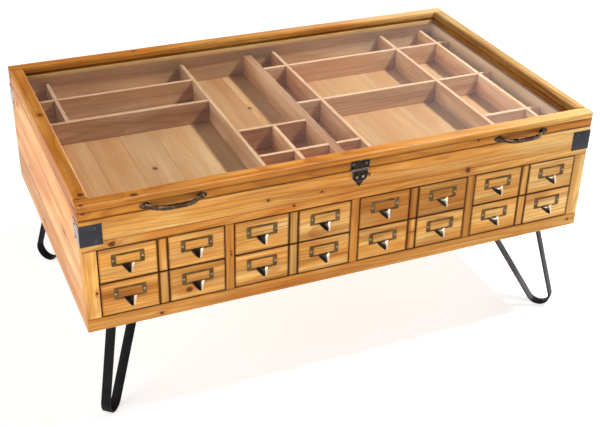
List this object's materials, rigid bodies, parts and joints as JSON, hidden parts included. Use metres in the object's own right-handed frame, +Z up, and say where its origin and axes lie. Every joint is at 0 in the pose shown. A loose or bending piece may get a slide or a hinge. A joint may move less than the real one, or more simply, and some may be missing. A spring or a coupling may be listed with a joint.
{
  "type": "collectors display table",
  "caption": "Low pine display table: hinged glass lid over a divided display well, label-pull drawers in the front below it, on flat-bar hairpin legs",
  "frame": {"origin": "on the floor, under the middle of the bounding box", "axes": "+Z up, drawers face -Y, +X to the right when facing the drawers"},
  "size_m": [1.005, 0.635, 0.4555],
  "materials": {
    "pine": "honey stain, satin varnish",
    "raw_pine": "unstained, sanded",
    "glass": "clear, polished",
    "black_steel": "black, satin",
    "bronze": "aged dark bronze",
    "bracket_steel": "dark blue-grey, worn",
    "nail_steel": "bright nail heads"
  },
  "bodies": {
    "case": {"side_panel_left": "pine", "side_panel_right": "pine", "back_panel": "pine", "front_bottom_rail": "pine", "front_drawer_rail": "pine", "front_apron": "pine", "front_stiles": "pine", "front_posts": "pine", "bottom_panel": "raw_pine", "drawer_partitions": "raw_pine", "side_liners": "raw_pine", "drawer_runners": "raw_pine", "well_floor": "raw_pine", "well_divider_main": "raw_pine", "well_dividers_long": "raw_pine", "well_dividers_cross": "raw_pine", "corner_brackets": "bracket_steel", "bracket_nails": "nail_steel", "leg_front_left": "black_steel", "leg_front_right": "black_steel", "leg_rear_left": "black_steel", "leg_rear_right": "black_steel", "leg_screws": "black_steel", "hinge_case_leaves": "bronze", "hinge_pins": "nail_steel", "hinge_case_screws": "bronze", "hasp_strike": "bronze"},
    "lid": {"lid_lower_frame": "pine", "lid_upper_frame": "pine", "lid_glass": "glass", "lid_handle_left": "bronze", "lid_handle_right": "bronze", "lid_screws": "bronze", "hinge_lid_leaves": "bronze", "hasp_lid_plate": "bronze"},
    "hasp_tongue": {"hasp_tongue": "bronze"},
    "drawer_upper_1": {"drawer_front_upper_1": "pine", "drawer_box_upper_1": "raw_pine", "drawer_pulls_upper_1": "bronze"},
    "drawer_lower_1": {"drawer_front_lower_1": "pine", "drawer_box_lower_1": "raw_pine", "drawer_pulls_lower_1": "bronze"},
    "drawer_upper_2": {"drawer_front_upper_2": "pine", "drawer_box_upper_2": "raw_pine", "drawer_pulls_upper_2": "bronze"},
    "drawer_lower_2": {"drawer_front_lower_2": "pine", "drawer_box_lower_2": "raw_pine", "drawer_pulls_lower_2": "bronze"},
    "drawer_upper_3": {"drawer_front_upper_3": "pine", "drawer_box_upper_3": "raw_pine", "drawer_pulls_upper_3": "bronze"},
    "drawer_lower_3": {"drawer_front_lower_3": "pine", "drawer_box_lower_3": "raw_pine", "drawer_pulls_lower_3": "bronze"},
    "drawer_upper_4": {"drawer_front_upper_4": "pine", "drawer_box_upper_4": "raw_pine", "drawer_pulls_upper_4": "bronze"},
    "drawer_lower_4": {"drawer_front_lower_4": "pine", "drawer_box_lower_4": "raw_pine", "drawer_pulls_lower_4": "bronze"}
  },
  "joints": [
    {"name": "drawer_upper_1_slide", "type": "slide", "parent": "case", "child": "drawer_upper_1", "axis": [0, -1, 0], "range_m": [0, 0.3]},
    {"name": "drawer_lower_1_slide", "type": "slide", "parent": "case", "child": "drawer_lower_1", "axis": [0, -1, 0], "range_m": [0, 0.3]},
    {"name": "drawer_upper_2_slide", "type": "slide", "parent": "case", "child": "drawer_upper_2", "axis": [0, -1, 0], "range_m": [0, 0.3]},
    {"name": "drawer_lower_2_slide", "type": "slide", "parent": "case", "child": "drawer_lower_2", "axis": [0, -1, 0], "range_m": [0, 0.3]},
    {"name": "drawer_upper_3_slide", "type": "slide", "parent": "case", "child": "drawer_upper_3", "axis": [0, -1, 0], "range_m": [0, 0.3]},
    {"name": "drawer_lower_3_slide", "type": "slide", "parent": "case", "child": "drawer_lower_3", "axis": [0, -1, 0], "range_m": [0, 0.3]},
    {"name": "drawer_upper_4_slide", "type": "slide", "parent": "case", "child": "drawer_upper_4", "axis": [0, -1, 0], "range_m": [0, 0.3]},
    {"name": "drawer_lower_4_slide", "type": "slide", "parent": "case", "child": "drawer_lower_4", "axis": [0, -1, 0], "range_m": [0, 0.3]},
    {"name": "lid_hinge", "type": "hinge", "parent": "case", "child": "lid", "pos_m": [0, 0.3143, 0.4265], "axis": [-1, 0, 0], "range_deg": [0, 95]},
    {"name": "hasp_tongue_hinge", "type": "hinge", "parent": "lid", "child": "hasp_tongue", "pos_m": [0.004, -0.298, 0.428], "axis": [-1, 0, 0], "range_deg": [0, 140]}
  ]
}
